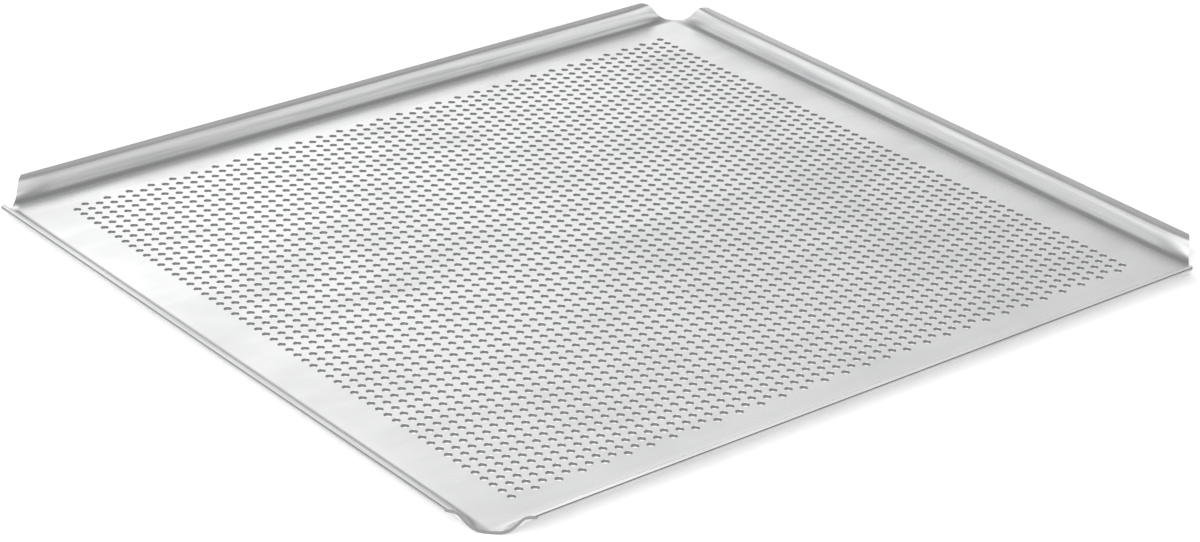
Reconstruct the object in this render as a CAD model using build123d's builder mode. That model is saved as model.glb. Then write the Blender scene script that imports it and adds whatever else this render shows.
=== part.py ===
from build123d import *
import os
from math import cos, radians, sin

# Perforated baking tray, pressed from one sheet of aluminium. Millimetres, +Z up.
# The origin is the middle of the underside, so the tray rests on the plane Z = 0.
# X runs along the long side and Y along the short side.
#
# The panel's perforation is left out of this solid: 60 staggered rows of 56 holes, 3 mm wide and
# 5 mm apart, over the middle 298 x 281 mm. The panel is plain here, and everything else is as made.

# ---- Driving dimensions -----------------------------------------------------------------------
LENGTH = 355.0            # over the rims, along X
WIDTH = 327.0             # over the rims, along Y
SHEET = 1.2               # sheet thickness
RIM_ANGLE = 45.0          # how steeply the rims rise from the panel
BEND_RADIUS = 5.0         # radius of the upper face where the panel turns up into the rim
SLOPE = 6.3               # straight part of the rim between its two bends
LIP_ANGLE = 12.0          # slope of the narrow lip along the top of the rim
LIP_BEND_RADIUS = 2.5     # radius of the upper face where the rim turns out into the lip
LIP = 2.6                 # straight part of the lip, out to the cut edge
CORNER_CUT = 21.5         # leg of the 45 degree cut that opens each corner between two rims
CORNER_RADIUS = 2.0       # rounding where that cut meets the edge of a lip

# ---- Worked out from them ---------------------------------------------------------------------
SIN_RIM, COS_RIM = sin(radians(RIM_ANGLE)), cos(radians(RIM_ANGLE))
SIN_LIP, COS_LIP = sin(radians(LIP_ANGLE)), cos(radians(LIP_ANGLE))
BEND_REACH = BEND_RADIUS * SIN_RIM
LIP_REACH = LIP_BEND_RADIUS * (SIN_RIM - SIN_LIP) + LIP * COS_LIP + SHEET * SIN_LIP
RIM_REACH = BEND_REACH + SLOPE * COS_RIM + LIP_REACH   # plan width of a rim
PANEL_X = LENGTH / 2 - RIM_REACH                       # the flat panel ends where the bends start
PANEL_Y = WIDTH / 2 - RIM_REACH
TALL = 3 * BEND_RADIUS                                 # higher than the tray, for the trims


def rim_section(plane, panel_edge):
    """Section of a rim: the line of its upper face, given the sheet's thickness downwards."""
    with BuildSketch(plane) as section:
        with BuildLine():
            bend = CenterArc((panel_edge, SHEET + BEND_RADIUS), BEND_RADIUS, -90, RIM_ANGLE)
            slope = PolarLine(bend @ 1, SLOPE, RIM_ANGLE)
            lip_bend = JernArc(slope @ 1, slope % 1, LIP_BEND_RADIUS, LIP_ANGLE - RIM_ANGLE)
            PolarLine(lip_bend @ 1, LIP, LIP_ANGLE)
            offset(amount=SHEET, side=Side.RIGHT)
        make_face()
    return section.sketch


def mitred_outline(near, far, turn):
    """Plan outline of one rim: its ends run at 45 degrees out of the panel's corners."""
    with BuildSketch(Plane.XY) as outline:
        with BuildLine(Rot(Z=turn)):
            Polyline(
                (near, -far),
                (near + RIM_REACH, -far - RIM_REACH),
                (near + RIM_REACH, far + RIM_REACH),
                (near, far),
                close=True,
            )
        make_face()
    return outline.sketch


# ---- Rims -------------------------------------------------------------------------------------
# End rim at +X: it runs along Y.
with BuildPart() as end_rim:
    extrude(rim_section(Plane.XZ, PANEL_X), amount=PANEL_Y + RIM_REACH, both=True)
    extrude(mitred_outline(PANEL_X, PANEL_Y, 0), amount=TALL, mode=Mode.INTERSECT)

# Side rim at +Y: it runs along X.
with BuildPart() as side_rim:
    extrude(rim_section(Plane.YZ, PANEL_Y), amount=PANEL_X + RIM_REACH, both=True)
    extrude(mitred_outline(PANEL_Y, PANEL_X, 90), amount=TALL, mode=Mode.INTERSECT)

# All four, with the blank's corners cut off at 45 degrees and the ends of each cut rounded.
with BuildPart() as rims:
    add(end_rim.part)
    add(side_rim.part)
    mirror(about=Plane.YZ)
    mirror(about=Plane.XZ)
    with BuildSketch(Plane.XY) as trim:
        Rectangle(LENGTH, WIDTH)
        chamfer(trim.vertices(), CORNER_CUT)
        fillet(trim.vertices(), CORNER_RADIUS)
    extrude(amount=TALL, mode=Mode.INTERSECT)

# ---- The tray: panel and rims are one sheet -----------------------------------------------------
with BuildPart() as tray_sheet:
    with BuildSketch(Plane.XY):
        Rectangle(2 * PANEL_X, 2 * PANEL_Y)
    extrude(amount=SHEET)
    add(rims.part)

tray_sheet.part.label = "tray_sheet"

os.makedirs("parts", exist_ok=True)
export_step(tray_sheet.part, "parts/tray_sheet.step")
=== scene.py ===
"""Perforated baking tray: one sheet of satin aluminium, edges folded up and corners cut off."""
from math import cos, pi, radians, sin, sqrt, tan

import bmesh
import bpy
from mathutils import Matrix, Vector


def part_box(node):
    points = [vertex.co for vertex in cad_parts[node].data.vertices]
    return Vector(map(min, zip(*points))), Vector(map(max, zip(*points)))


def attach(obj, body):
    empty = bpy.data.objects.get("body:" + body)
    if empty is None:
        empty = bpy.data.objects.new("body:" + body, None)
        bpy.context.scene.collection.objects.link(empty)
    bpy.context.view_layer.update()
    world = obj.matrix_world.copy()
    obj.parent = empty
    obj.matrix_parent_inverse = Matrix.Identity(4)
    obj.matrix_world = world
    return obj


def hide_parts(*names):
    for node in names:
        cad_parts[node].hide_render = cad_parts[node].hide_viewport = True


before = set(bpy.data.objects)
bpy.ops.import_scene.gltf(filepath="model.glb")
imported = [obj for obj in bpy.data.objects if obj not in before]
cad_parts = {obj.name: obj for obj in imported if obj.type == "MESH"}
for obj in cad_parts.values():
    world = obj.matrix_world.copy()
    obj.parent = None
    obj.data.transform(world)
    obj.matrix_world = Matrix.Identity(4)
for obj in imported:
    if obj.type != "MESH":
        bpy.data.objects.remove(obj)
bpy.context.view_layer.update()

# ==== Perforated panel ===========================================================================
# The flat middle of the tray: bare cold-rolled aluminium sheet, punched with 3 mm holes 5 mm apart
# in 60 staggered rows of 56. The punch rolls each hole's upper edge in a little. The panel is made
# as two halves that meet edge to edge.
SHEET = 0.0012               # thickness
PITCH = 0.005
HOLE = 0.0015                # radius
HOLE_SIDES = 12
ROLL = 0.00009               # how far the punch rolls the hole's upper edge in
HOLE_WALL, HOLE_LIP = 1.0, 0.3                 # share of the dark sheared colour, a painted shade, and of the rougher cut finish on the hole's wall and rolled edge
ROWS, HOLES_PER_ROW = 60, 56
FIELD_X = ROWS * PITCH / 2                     # half sizes of the punched field, to the cell edges
FIELD_Y = (HOLES_PER_ROW + 0.5) * PITCH / 2
WAVE = 0.0003                # how far the panel waves up from flat
WELD = 1e-5                  # points nearer to each other than this become one
SMOOTH_HOLES = 40            # degrees between faces, up to which the edge looks round

ALUMINIUM = (0.915, 0.918, 0.922, 1)
CLOUDED = (0.860, 0.865, 0.872, 1)             # patches left by handling and baking
BEND_SHADE = (0.480, 0.485, 0.492, 1)              # painted shade along the bends
SHEARED_SHADE = (0.340, 0.342, 0.348, 1)             # painted shade on the punched and cut edges
SATIN, TORN = 0.27, 0.55                       # roughness of a rolled face and of a cut edge
CLOUDS, PEEL = 14.0, 900.0                     # noise scales, per metre
SMEARS = (9.0, 60.0, 60.0)                     # drawn out along X, the way the sheet was rolled
LINES = (25.0, 2600.0, 2600.0)
STREAK_ACROSS, STREAK_ALONG = 800, 14                # darker streaks along a rim
STREAKED, PATCHED = (0.46, 0.66), (0.42, 0.66)   # noise where a streak or patch begins, and is full
RIM_FOOT = (0.0015, 0.0035)                    # the streaks begin this far out from the panel
CLOUDING, BEND_SHADING, STREAK_DARKENING = 0.55, 0.62, 0.30      # share of the colour that each takes over
CLOUD_ROUGHENS, LINE_ROUGHENS, STREAK_ROUGHENS = 0.07, 0.10, 0.08
RELIEF, RELIEF_HEIGHT = 0.06, 0.00002          # bump of the rolling lines and the peel


class Wire:
    """A node's output socket: Python arithmetic on it adds Math nodes to its tree."""

    def __init__(self, wiring, socket):
        self.wiring, self.socket = wiring, socket

    def _math(self, operation, first, second):
        return self.wiring.node("ShaderNodeMath", {"operation": operation},
                                {0: first, 1: second})[0]

    def __add__(self, other):
        return self._math("ADD", self, other)

    def __radd__(self, other):
        return self._math("ADD", other, self)

    def __sub__(self, other):
        return self._math("SUBTRACT", self, other)

    def __rsub__(self, other):
        return self._math("SUBTRACT", other, self)

    def __mul__(self, other):
        return self._math("MULTIPLY", self, other)

    def __rmul__(self, other):
        return self._math("MULTIPLY", other, self)


class Wiring:
    """A node tree being wired up, for a material, a world or a geometry modifier."""

    def __init__(self, tree):
        self.tree = tree

    def node(self, kind, settings=None, inputs=None):
        """Adds a node, sets it, feeds its sockets, and returns its outputs by name and by number."""
        made = self.tree.nodes.new(kind)
        for name, value in (settings or {}).items():
            setattr(made, name, value)
        for key, value in (inputs or {}).items():
            if isinstance(value, Wire):
                self.tree.links.new(value.socket, made.inputs[key])
            else:
                made.inputs[key].default_value = value
        wires = {o.name: Wire(self, o) for o in made.outputs if o.enabled}
        wires.update({i: Wire(self, o) for i, o in enumerate(made.outputs)})
        return wires

    def blend(self, value, start, end, interpolation="SMOOTHSTEP"):
        """Rises from 0 to 1 as the value goes from start to end."""
        return self.node("ShaderNodeMapRange", {"interpolation_type": interpolation},
                         {0: value, 1: start, 2: end})[0]


def bare_aluminium():
    """Satin rolled sheet. The mesh holds "sheared_and_shaded", 1 on punched and cut edges, which get
    a rougher finish and painted shade, "bend_shade", up to 1 in a band of painted shade along a
    bend, and "reach", how far out along a rim a point is."""
    material = bpy.data.materials.new("bare_aluminium")
    material.use_nodes = True
    material.node_tree.nodes.clear()
    mat = Wiring(material.node_tree)

    def painted(name):
        return mat.node("ShaderNodeAttribute", {"attribute_name": name})["Fac"]

    def noise(vector, scale, detail, roughness):
        return mat.node("ShaderNodeTexNoise", None,
                        {"Vector": vector, "Scale": scale, "Detail": detail,
                         "Roughness": roughness})["Fac"]

    def stretched(vector, scale):
        return mat.node("ShaderNodeMapping", None, {"Vector": vector, "Scale": scale})[0]

    def laid_over(base, colour, share):
        return mat.node("ShaderNodeMix", {"data_type": "RGBA"},
                        {"Factor": share, 6: base, 7: colour})[2]

    place = mat.node("ShaderNodeTexCoord")["Object"]
    sheared_and_shaded, bend_shade, reach = painted("sheared_and_shaded"), painted("bend_shade"), painted("reach")
    clouds = noise(place, CLOUDS, 4.0, 0.6)
    smears = noise(stretched(place, SMEARS), 1.0, 5.0, 0.65)
    lines = noise(stretched(place, LINES), 1.0, 3.0, 0.5)
    peel = noise(place, PEEL, 2.0, 0.5)
    split = mat.node("ShaderNodeSeparateXYZ", None, {0: place})
    along_rim = mat.node("ShaderNodeCombineXYZ", None,
                         {"X": reach * STREAK_ACROSS, "Y": split["X"] * STREAK_ALONG,
                          "Z": split["Y"] * STREAK_ALONG})[0]
    streak_noise = noise(along_rim, 1.0, 4.0, 0.6)

    # darker streaks along each rim, mixed toward the bend's shade colour
    dark_streak = mat.blend(streak_noise, *STREAKED) * mat.blend(reach, *RIM_FOOT, "LINEAR")
    patch = mat.blend(clouds * 0.6 + smears * 0.4, *PATCHED)
    face = laid_over(ALUMINIUM, CLOUDED, patch * CLOUDING)
    # painted shade along the bends, and the darker streaks along the rims
    folded = laid_over(face, BEND_SHADE, bend_shade * BEND_SHADING + dark_streak * STREAK_DARKENING)
    # painted shade: punched and cut edges are darkened whatever the light
    colour = laid_over(folded, SHEARED_SHADE, sheared_and_shaded)
    worn = SATIN + patch * CLOUD_ROUGHENS + (lines - 0.5) * LINE_ROUGHENS + dark_streak * STREAK_ROUGHENS
    roughness = worn * (1 - sheared_and_shaded) + TORN * sheared_and_shaded
    bump = mat.node("ShaderNodeBump", None,
                    {"Height": lines * 0.7 + peel * 0.3, "Strength": RELIEF,
                     "Distance": RELIEF_HEIGHT})[0]
    shader = mat.node("ShaderNodeBsdfPrincipled", None,
                      {"Base Color": colour, "Metallic": 1.0, "Roughness": roughness,
                       "Normal": bump})[0]
    mat.node("ShaderNodeOutputMaterial", None, {"Surface": shader})
    return material


def punched_cell():
    """One pitch square of sheet with its hole, as rings of points from the underside to the top."""
    mesh = bpy.data.meshes.new("punched_cell")
    form = bmesh.new()
    cut = form.faces.layers.float.new("sheared_and_shaded")
    turns = [i * 2 * pi / HOLE_SIDES for i in range(HOLE_SIDES)]

    def ring(radius, height):
        return [form.verts.new((radius * cos(a), radius * sin(a), height)) for a in turns]

    def border(height):
        """The square's edge: rounding takes each turn to a corner, to the middle of a side, or to
        a quarter point of a side between two rows."""
        return [form.verts.new((round(1.2 * cos(a)) * PITCH / 2, round(2.2 * sin(a)) * PITCH / 4,
                                height)) for a in turns]

    rings = [border(0), ring(HOLE, 0), ring(HOLE, SHEET - ROLL), ring(HOLE + ROLL, SHEET),
             border(SHEET)]
    # the hole's wall and rolled edge take painted shade and a rougher finish
    for inner, outer, shear_and_shade in zip(rings, rings[1:], (0.0, HOLE_WALL, HOLE_LIP, 0.0)):
        for i in range(HOLE_SIDES):
            j = (i + 1) % HOLE_SIDES
            form.faces.new((inner[i], inner[j], outer[j], outer[i]))[cut] = shear_and_shade
    bmesh.ops.recalc_face_normals(form, faces=form.faces)
    form.to_mesh(mesh)
    form.free()
    return bpy.data.objects.new("punched_cell", mesh)


def perforation_tree():
    """Geometry nodes: a grid of points, every second row moved by half a pitch, a cell on each."""
    tree = bpy.data.node_groups.new("staggered_perforation", "GeometryNodeTree")
    for name, kind in (("Cell", "NodeSocketObject"), ("Rows", "NodeSocketInt"),
                       ("Holes per Row", "NodeSocketInt"), ("Pitch", "NodeSocketFloat"),
                       ("Middle X", "NodeSocketFloat"), ("Material", "NodeSocketMaterial")):
        tree.interface.new_socket(name, in_out="INPUT", socket_type=kind)
    tree.interface.new_socket("Sheet", in_out="OUTPUT", socket_type="NodeSocketGeometry")
    geo = Wiring(tree)
    given = geo.node("NodeGroupInput")
    rows, holes, pitch = given["Rows"], given["Holes per Row"], given["Pitch"]
    grid = geo.node("GeometryNodeMeshGrid", None,
                    {"Size X": (rows - 1) * pitch, "Size Y": (holes - 1) * pitch,
                     "Vertices X": rows, "Vertices Y": holes})["Mesh"]
    number = geo.node("GeometryNodeInputIndex")[0]
    share = geo.node("ShaderNodeMath", {"operation": "DIVIDE"}, {0: number + 0.5, 1: holes})[0]
    row = geo.node("ShaderNodeMath", {"operation": "FLOOR"}, {0: share})[0]
    parity = geo.node("ShaderNodeMath", {"operation": "FLOORED_MODULO"}, {0: row, 1: 2.0})[0]
    shift = geo.node("ShaderNodeCombineXYZ", None,
                     {"X": given["Middle X"], "Y": (parity - 0.5) * pitch * 0.5})[0]
    points = geo.node("GeometryNodeSetPosition", None, {"Geometry": grid, "Offset": shift})[0]
    cell = geo.node("GeometryNodeObjectInfo", None, {"Object": given["Cell"]})["Geometry"]
    cells = geo.node("GeometryNodeInstanceOnPoints", None, {"Points": points, "Instance": cell})[0]
    sheet = geo.node("GeometryNodeRealizeInstances", None, {"Geometry": cells})[0]
    welded = geo.node("GeometryNodeMergeByDistance", None, {"Geometry": sheet, "Distance": WELD})[0]
    shown = geo.node("GeometryNodeSetMaterial", None,
                     {"Geometry": welded, "Material": given["Material"]})[0]
    geo.node("NodeGroupOutput", None, {"Sheet": shown})
    return tree


def settle(mesh):
    """Takes the sheet off dead flat: a slow wave up in the panel, and nothing at its edge, so that
    the margin and the rims stay where they are."""
    for vertex in mesh.vertices:
        x, y = vertex.co.x / FIELD_X, vertex.co.y / FIELD_Y
        inside = max(0.0, 1 - x * x) * max(0.0, 1 - y * y)
        wave = 0.5 + 0.3 * sin(2.6 * x + 1.9 * y + 0.7) + 0.2 * sin(4.1 * y - 3.3 * x + 2.0)
        vertex.co.z += WAVE * inside * wave


def shade_by_angle(mesh, degrees):
    mesh.shade_smooth()
    mesh.set_sharp_from_angle(angle=radians(degrees))


def punched_half(name, cell, tree, middle):
    """Runs the tree for half of the rows and keeps the result as a plain mesh."""
    maker = bpy.data.objects.new(name, bpy.data.meshes.new(name))
    bpy.context.scene.collection.objects.link(maker)
    modifier = maker.modifiers.new("perforation", "NODES")
    modifier.node_group = tree
    sockets = {s.name: s.identifier for s in tree.interface.items_tree if s.in_out == "INPUT"}
    for key, value in {"Cell": cell, "Rows": ROWS // 2, "Holes per Row": HOLES_PER_ROW,
                       "Pitch": PITCH, "Middle X": middle, "Material": metal}.items():
        modifier[sockets[key]] = value
    evaluated = maker.evaluated_get(bpy.context.evaluated_depsgraph_get())
    mesh = bpy.data.meshes.new_from_object(evaluated)
    maker.modifiers.clear()
    maker.data = mesh
    settle(mesh)
    shade_by_angle(mesh, SMOOTH_HOLES)
    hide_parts("tray_sheet")
    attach(maker, "root")


metal = bare_aluminium()
cell = punched_cell()
tree = perforation_tree()
punched_half("perforated_half_left", cell, tree, -FIELD_X / 2)
punched_half("perforated_half_right", cell, tree, FIELD_X / 2)
bpy.data.objects.remove(cell)

# ==== Margin, rims and corners ===================================================================
# The rest of the same sheet: a plain margin round the holes, folded up at 45 degrees into four rims
# whose top turns out into a narrow lip. The blank's corners are cut off, so the corners stay open.
RIM_ANGLE, LIP_ANGLE = radians(45), radians(12)
BEND, LIP_BEND = 0.005, 0.0025                 # radii of the upper face
SLOPE, LIP = 0.0063, 0.0026                    # straight runs of the rim and of the lip
CORNER_CUT, CORNER_ROUND = 0.0215, 0.002
DEBURR = 0.0003                                # edge break along the lip
ARRIS, CUT_FACE, CUT_END = 1.0, 0.45, 1.0      # share of the dark sheared colour, a painted shade, and of the rougher cut finish on the lip's edge and the rims' ends
BEND_SHADE_MIDDLE = 0.0030                           # the band of painted shade along a bend lies round this reach
RIPPLE = 0.00006                               # the folded rim is not quite flat
FLATTENED = 0.85                               # share of its height that a bend loses at a corner,
FLAT_RUN = 0.018                               # within this run of the cut,
FLAT_REACH, FLAT_END = 0.0030, 0.0100          # fading out between these reaches
SMOOTH_BENDS = 30                              # degrees

_, top_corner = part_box("tray_sheet")
BEND_END = BEND * sin(RIM_ANGLE)
LIP_START = BEND_END + SLOPE * cos(RIM_ANGLE)
LIP_CENTRE = (LIP_START + LIP_BEND * sin(RIM_ANGLE),
              BEND * (1 - cos(RIM_ANGLE)) + SLOPE * sin(RIM_ANGLE) - LIP_BEND * cos(RIM_ANGLE))
RIM_TOP = (LIP_CENTRE[0] - LIP_BEND * sin(LIP_ANGLE) + LIP * cos(LIP_ANGLE),
           LIP_CENTRE[1] + LIP_BEND * cos(LIP_ANGLE) + LIP * sin(LIP_ANGLE))
RIM_REACH = RIM_TOP[0] + SHEET * sin(LIP_ANGLE)
PANEL_X, PANEL_Y = top_corner.x - RIM_REACH, top_corner.y - RIM_REACH
CUT = top_corner.x + top_corner.y - CORNER_CUT           # the corner cut is |x| + |y| = CUT
TAB = (CUT - PANEL_X - PANEL_Y) / 2            # where two rims part, measured out from the panel


def rise(reach, below):
    """Height over the panel's top, out along a rim, of the face `below` that far under the top."""
    bend, lip = BEND + below, LIP_BEND - below
    if reach < bend * sin(RIM_ANGLE):
        return BEND - sqrt(bend * bend - reach * reach)
    if reach < LIP_CENTRE[0] - lip * sin(RIM_ANGLE):
        run = reach - bend * sin(RIM_ANGLE)
        up_slope = max(0.0, reach - BEND_END) / (SLOPE * cos(RIM_ANGLE))
        buckle = RIPPLE * sin(2 * pi * up_slope)
        return BEND - bend * cos(RIM_ANGLE) + run * tan(RIM_ANGLE) + buckle
    turned = LIP_CENTRE[0] - lip * sin(LIP_ANGLE)
    if reach < turned:
        return LIP_CENTRE[1] + sqrt(lip * lip - (reach - LIP_CENTRE[0]) ** 2)
    return LIP_CENTRE[1] + lip * cos(LIP_ANGLE) + (reach - turned) * tan(LIP_ANGLE)


def flattening(reach, from_cut):
    """How much of its height the bend loses near an open corner, where the press left it flat."""
    near = max(0.0, 1 - from_cut / FLAT_RUN) ** 2
    out = min(1.0, max(0.0, (reach - FLAT_REACH) / (FLAT_END - FLAT_REACH)))
    return FLATTENED * near * (1 - out * out * (3 - 2 * out))


def half_length(reach, panel_along, panel_across):
    """Half the rim's length at a reach: a mitre up to the tab, then the cut with its round end."""
    if reach <= TAB:
        return panel_along + reach
    out = panel_across + reach
    centre = panel_across + RIM_REACH - CORNER_ROUND
    if out > centre + CORNER_ROUND * sin(pi / 4):
        across = min(out - centre, CORNER_ROUND)
        return CUT - CORNER_ROUND * sqrt(2) - centre + sqrt(CORNER_ROUND ** 2 - across ** 2)
    return CUT - out


def spread(start, end, steps):
    """Evenly spaced values from the start up to one step short of the end."""
    return [start + (end - start) * i / steps for i in range(steps)]


def section():
    """Points (reach, height, sheared) across margin and rim: out along the top, round the cut edge
    of the lip, and back along the underside. Height is over the panel's top. Reach is negative on
    the flat margin, from -1 beside the holes."""
    margin = spread(-1, 0, 4)
    outward = (spread(0, TAB, 4) + spread(TAB, BEND_END, 6) + spread(BEND_END, LIP_START, 5)
               + spread(LIP_START, RIM_TOP[0], 10))
    top = [(s, 0.0, 0.0) for s in margin] + [(r, rise(r, 0), 0.0) for r in outward]
    under = [(s, -SHEET, 0.0) for s in margin] + [(r, rise(r, SHEET), 0.0) for r in outward]
    along = Vector((cos(LIP_ANGLE), sin(LIP_ANGLE)))
    down = Vector((sin(LIP_ANGLE), -cos(LIP_ANGLE)))
    corner = Vector(RIM_TOP)
    shaved = DEBURR * 0.3
    edge = [(corner - along * DEBURR, ARRIS), (corner + (down - along) * shaved, ARRIS),
            (corner + down * DEBURR, CUT_FACE), (corner + down * (SHEET - DEBURR), CUT_FACE),
            (corner + down * SHEET - (down + along) * shaved, CUT_FACE),
            (corner + down * SHEET - along * DEBURR, 0.0)]
    return top, [(p.x, p.y, cut) for p, cut in edge], under[::-1]


def folded_side(form, layers, turn, panel_along, panel_across, field_along, field_across, steps):
    """One side of the tray, from the punched field out to its lip, turned into place."""
    cut, bend_shade, span = layers
    top, edge, under = section()
    spin = Matrix.Rotation(turn, 3, "Z")
    columns = []
    for k, (reach, height, shear_and_shade) in enumerate(top + edge + under):
        flat = 0.0 if k < len(top) else -SHEET
        if reach < 0:
            out = panel_across + (panel_across - field_across) * reach
            half = panel_along + (panel_along - field_along) * reach
        else:
            out = panel_across + reach
            half = half_length(reach, panel_along, panel_across)
        open_end = reach >= TAB - 1e-9
        column = []
        for i in range(steps + 1):
            along = half * (2 * i / steps - 1)
            sunk = flattening(reach, half - abs(along)) * (height - flat) if reach > 0 else 0.0
            point = form.verts.new(spin @ Vector((out, along, SHEET + height - sunk)))
            point[span] = max(0.0, reach)
            # painted shade along the bend, strongest round the middle reach
            point[bend_shade] = max(0.0, 1 - (reach / BEND_SHADE_MIDDLE - 1) ** 2) if reach > 0 else 0.0
            column.append(point)
        columns.append((column, open_end, shear_and_shade))
    # the lip's cut edge takes painted shade and a rougher finish
    for (inner, _, shear_and_shade), (outer, _, _) in zip(columns, columns[1:]):
        for i in range(steps):
            face = form.faces.new((inner[i], outer[i], outer[i + 1], inner[i + 1]))
            face[cut] = shear_and_shade
    # the cut ends of the rim: top and underside are joined where the corner is open
    count = len(top)
    ends = [column for column, _, _ in columns]
    first = next(i for i in range(count) if columns[i][1])
    # the cut ends take painted shade and a rougher finish
    for k in (0, steps):
        for i in range(first, count - 1):
            j = len(ends) - 1 - i
            loop = (ends[i][k], ends[i + 1][k], ends[j - 1][k], ends[j][k])
            form.faces.new(loop if k == 0 else loop[::-1])[cut] = CUT_END
        tip = [ends[i][k] for i in range(count - 1, len(ends) - count + 1)]
        form.faces.new(tip if k == 0 else tip[::-1])[cut] = CUT_END


def squared_off(form):
    """The half cells that square off the ends of the staggered rows, on the top and underneath."""
    for row in range(ROWS):
        side = 1 if row % 2 == 0 else -1
        x = -FIELD_X + row * PITCH
        outer, inner = side * FIELD_Y, side * (FIELD_Y - PITCH / 2)
        middle = (inner + outer) / 2
        outline = [(x, inner), (x + PITCH / 2, inner), (x + PITCH, inner), (x + PITCH, middle),
                   (x + PITCH, outer), (x + PITCH / 2, outer), (x, outer), (x, middle)]
        for height, flip in ((SHEET, False), (0, True)):
            points = [form.verts.new((px, py, height)) for px, py in outline]
            form.faces.new(points if (side > 0) != flip else points[::-1])


def folded_edge():
    """Four folded sides and the ends of the rows, joined into one shell round the punched field."""
    mesh = bpy.data.meshes.new("folded_edge")
    form = bmesh.new()
    layers = (form.faces.layers.float.new("sheared_and_shaded"), form.verts.layers.float.new("bend_shade"),
              form.verts.layers.float.new("reach"))
    # steps along a side, to meet the points of the cells beside it
    quarters = 4 * HOLES_PER_ROW + 2
    halves = 2 * ROWS
    for turn in (0, pi):
        folded_side(form, layers, turn, PANEL_Y, PANEL_X, FIELD_Y, FIELD_X, quarters)
    for turn in (pi / 2, -pi / 2):
        folded_side(form, layers, turn, PANEL_X, PANEL_Y, FIELD_X, FIELD_Y, halves)
    squared_off(form)
    bmesh.ops.remove_doubles(form, verts=form.verts, dist=WELD)
    bmesh.ops.recalc_face_normals(form, faces=form.faces)
    form.to_mesh(mesh)
    form.free()
    settle(mesh)
    shade_by_angle(mesh, SMOOTH_BENDS)
    mesh.materials.append(metal)
    rim = bpy.data.objects.new("folded_edge", mesh)
    bpy.context.scene.collection.objects.link(rim)
    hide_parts("tray_sheet")
    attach(rim, "root")


folded_edge()

# ==== Floor, light and camera ====================================================================
# A white table top under white studio walls, with a white screen raised on either side and one
# large soft box hung over the near left. The ceiling is dark, which draws the bends of the rims.
TABLE = (0.92, 0.92, 0.92, 1)
TABLE_HALF = 6.0
GLOW = 0.32                                    # the table is lit from below a little
RIGHTWARD = (0.779, -0.628, 0)                 # the camera's right
# brightness of each thing
WALL_LEFT, WALL_RIGHT = 1.60, 0.76
HORIZON = 0.30                                 # of the wall at its foot, as a share of its own
SIDE_DIMMING = 0.45                            # lost by the wall at either side
CEILING = 0.32
SCREEN_LEFT, SCREEN_RIGHT = 1.15, 1.00
# where each begins and is full: heights are the upward part of a direction, 0 level and 1 overhead,
# and sides its part towards the camera's right, -1 to 1
TO_RIGHT = (-0.24, 0.24)
WALL_FOOT, CEILING_EDGE = (0.05, 0.28), (0.38, 0.68)
SIDE_EDGE = (0.12, 0.36)                       # squared, so that it works on both sides
SCREEN_FOOT, SCREEN_TOP = (0.42, 0.56), (0.95, 0.80)
RIGHT_SCREEN, LEFT_SCREEN = (0.50, 0.72), (-0.60, -0.74)

SOFT_BOX_PLACE, SOFT_BOX_AIM = (-0.80, -0.40, 1.40), (0, 0, 0)
SOFT_BOX_SIDE, SOFT_BOX_POWER = 1.5, 16.0
CAMERA_PLACE, CAMERA_AIM = (-0.76032, -0.92161, 0.57282), (-0.01739, -0.02403, 0.0012)
LENS, SENSOR = 103.65, 36.0                    # in millimetres
CAMERA_TILT = radians(1.7)                     # the camera is turned a little about its own axis


def table():
    mesh = bpy.data.meshes.new("table")
    corners = [(-1, -1), (1, -1), (1, 1), (-1, 1)]
    mesh.from_pydata([(x * TABLE_HALF, y * TABLE_HALF, 0) for x, y in corners], [],
                     [(0, 1, 2, 3)])
    material = bpy.data.materials.new("white_table")
    material.use_nodes = True
    material.node_tree.nodes.clear()
    mat = Wiring(material.node_tree)
    shader = mat.node("ShaderNodeBsdfPrincipled", None,
                      {"Base Color": TABLE, "Roughness": 0.6, "Specular IOR Level": 0.2,
                       "Emission Color": (1, 1, 1, 1), "Emission Strength": GLOW})[0]
    mat.node("ShaderNodeOutputMaterial", None, {"Surface": shader})
    mesh.materials.append(material)
    top = bpy.data.objects.new("table", mesh)
    bpy.context.scene.collection.objects.link(top)


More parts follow.
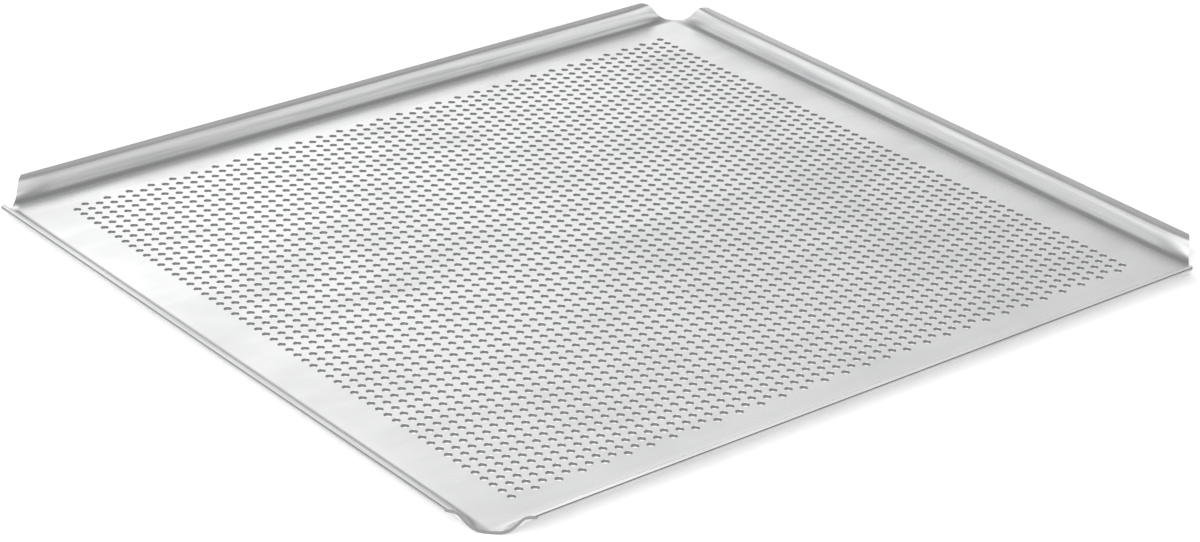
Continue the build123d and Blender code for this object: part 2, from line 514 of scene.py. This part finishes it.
def studio_walls():
    """The world, by direction: walls that darken at the foot, towards the right and at both sides,
    a dark ceiling, and a white screen high up on either side."""
    world = bpy.data.worlds.new("studio")
    world.use_nodes = True
    world.node_tree.nodes.clear()
    sky = Wiring(world.node_tree)
    direction = sky.node("ShaderNodeTexCoord")["Object"]
    height = sky.node("ShaderNodeSeparateXYZ", None, {0: direction})["Z"]
    sideways = sky.node("ShaderNodeVectorMath", {"operation": "DOT_PRODUCT"},
                        {0: direction, 1: RIGHTWARD})["Value"]

    across = sky.blend(sideways, *TO_RIGHT)
    wall = WALL_LEFT + (WALL_RIGHT - WALL_LEFT) * across
    wall = wall * (HORIZON + (1 - HORIZON) * sky.blend(height, *WALL_FOOT))
    wall = wall * (1 - SIDE_DIMMING * sky.blend(sideways * sideways, *SIDE_EDGE))
    room = wall + (CEILING - wall) * sky.blend(height, *CEILING_EDGE)
    beside = sky.blend(sideways, *RIGHT_SCREEN) + sky.blend(sideways, *LEFT_SCREEN)
    screen = sky.blend(height, *SCREEN_FOOT) * sky.blend(height, *SCREEN_TOP) * beside
    white = SCREEN_LEFT + (SCREEN_RIGHT - SCREEN_LEFT) * across
    shade = room + (white - room) * screen
    background = sky.node("ShaderNodeBackground", None, {"Color": shade, "Strength": 1.0})[0]
    sky.node("ShaderNodeOutputWorld", None, {"Surface": background})
    bpy.context.scene.world = world


def overhead_soft_box():
    light = bpy.data.lights.new("overhead_soft_box", "AREA")
    light.shape, light.energy = "RECTANGLE", SOFT_BOX_POWER
    light.size = light.size_y = SOFT_BOX_SIDE
    lamp = bpy.data.objects.new("overhead_soft_box", light)
    bpy.context.scene.collection.objects.link(lamp)
    lamp.location = SOFT_BOX_PLACE
    towards = Vector(SOFT_BOX_AIM) - Vector(SOFT_BOX_PLACE)
    lamp.rotation_euler = towards.to_track_quat("-Z", "Y").to_euler()
    lamp.visible_camera = False


def camera():
    eye = bpy.data.objects.new("camera", bpy.data.cameras.new("camera"))
    eye.data.lens, eye.data.sensor_width = LENS, SENSOR
    eye.data.clip_start = 0.01
    place = Vector(CAMERA_PLACE)
    look = (Vector(CAMERA_AIM) - place).to_track_quat("-Z", "Y").to_matrix()
    turned = (look @ Matrix.Rotation(CAMERA_TILT, 3, "Z")).to_4x4()
    eye.matrix_world = Matrix.Translation(place) @ turned
    bpy.context.scene.collection.objects.link(eye)
    bpy.context.scene.camera = eye


table()
studio_walls()
overhead_soft_box()
camera()
bpy.context.scene.view_settings.view_transform = "Standard"
